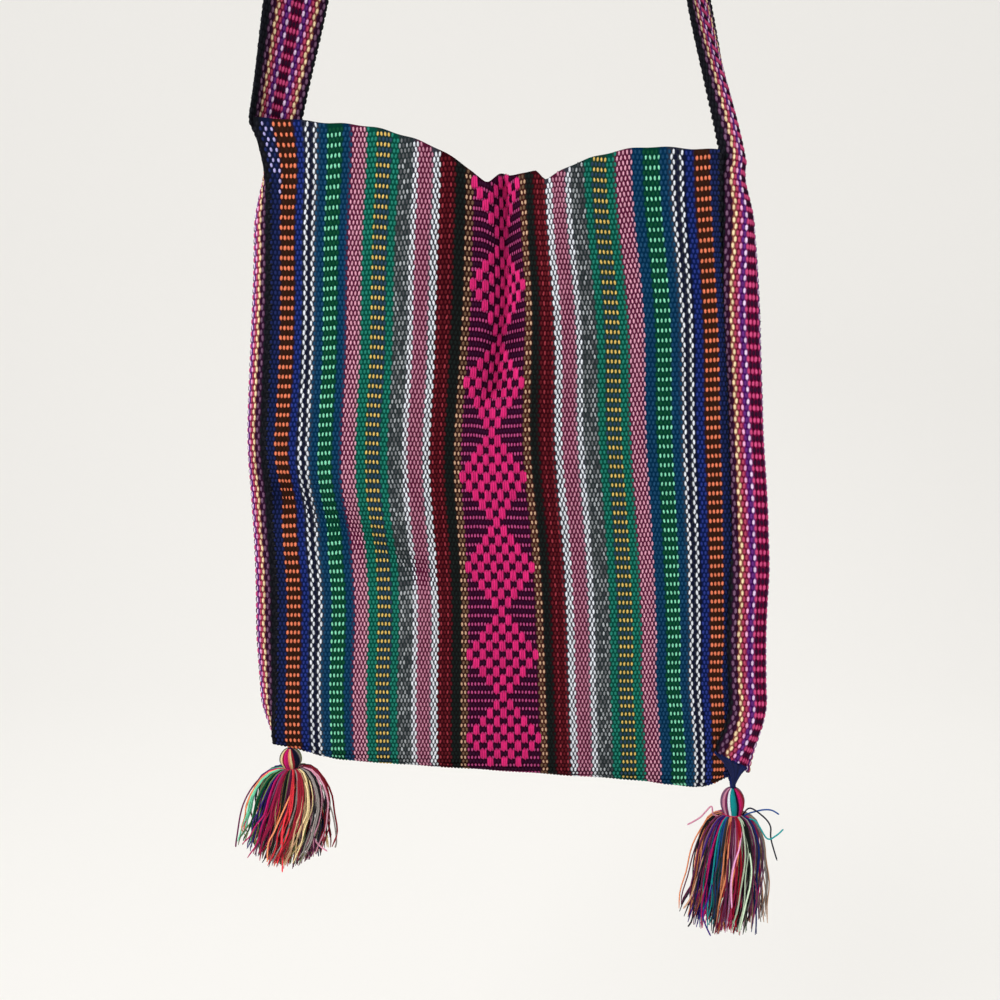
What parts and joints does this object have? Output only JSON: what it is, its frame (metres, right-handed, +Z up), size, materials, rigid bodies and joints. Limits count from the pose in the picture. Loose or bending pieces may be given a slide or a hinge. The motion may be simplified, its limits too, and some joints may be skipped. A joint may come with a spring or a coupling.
{
  "type": "woven shoulder bag",
  "caption": "Flat hand-woven shoulder bag of warp-striped cloth with a brocaded diamond column, a long woven strap sewn in as side gussets, and a yarn tassel at each lower corner.",
  "frame": {"origin": "middle of the underside of the strap's crown, where a hook or a shoulder carries it", "axes": "+X to the bag's right as seen from its front, +Y to its back, +Z up"},
  "size_m": [0.3336, 0.042, 1.0176],
  "materials": {
    "striped_cloth": "warp-faced weave of coloured stripes",
    "strap_weave": "warp-faced weave of narrow coloured stripes",
    "sewing_thread": "matt twisted thread",
    "tie_thread": "matt twisted thread",
    "tassel_yarn": "soft yarn of many colours",
    "binding_thread": "matt wound thread"
  },
  "bodies": {
    "bag": {"body_cloth": "striped_cloth", "strap_band": "strap_weave", "left_front_seam": "sewing_thread", "left_back_seam": "sewing_thread", "right_front_seam": "sewing_thread", "right_back_seam": "sewing_thread"},
    "left_tie": {"left_tassel_tie": "tie_thread"},
    "left_tassel": {"left_tassel_yarn": "tassel_yarn", "left_tassel_binding": "binding_thread"},
    "right_tie": {"right_tassel_tie": "tie_thread"},
    "right_tassel": {"right_tassel_yarn": "tassel_yarn", "right_tassel_binding": "binding_thread"}
  },
  "joints": [
    {"name": "left_tie_swing", "type": "hinge", "parent": "bag", "child": "left_tie", "pos_m": [-0.13164, 0, -0.89897], "axis": [1, 0, 0], "range_deg": [-60, 60]},
    {"name": "left_tassel_swing", "type": "hinge", "parent": "left_tie", "child": "left_tassel", "pos_m": [-0.13164, 0, -0.89977], "axis": [0, 1, 0], "range_deg": [-30, 30]},
    {"name": "right_tie_swing", "type": "hinge", "parent": "bag", "child": "right_tie", "pos_m": [0.14702, 0, -0.91848], "axis": [1, 0, 0], "range_deg": [-60, 60]},
    {"name": "right_tassel_swing", "type": "hinge", "parent": "right_tie", "child": "right_tassel", "pos_m": [0.14702, 0, -0.92148], "axis": [0, 1, 0], "range_deg": [-30, 30]}
  ]
}
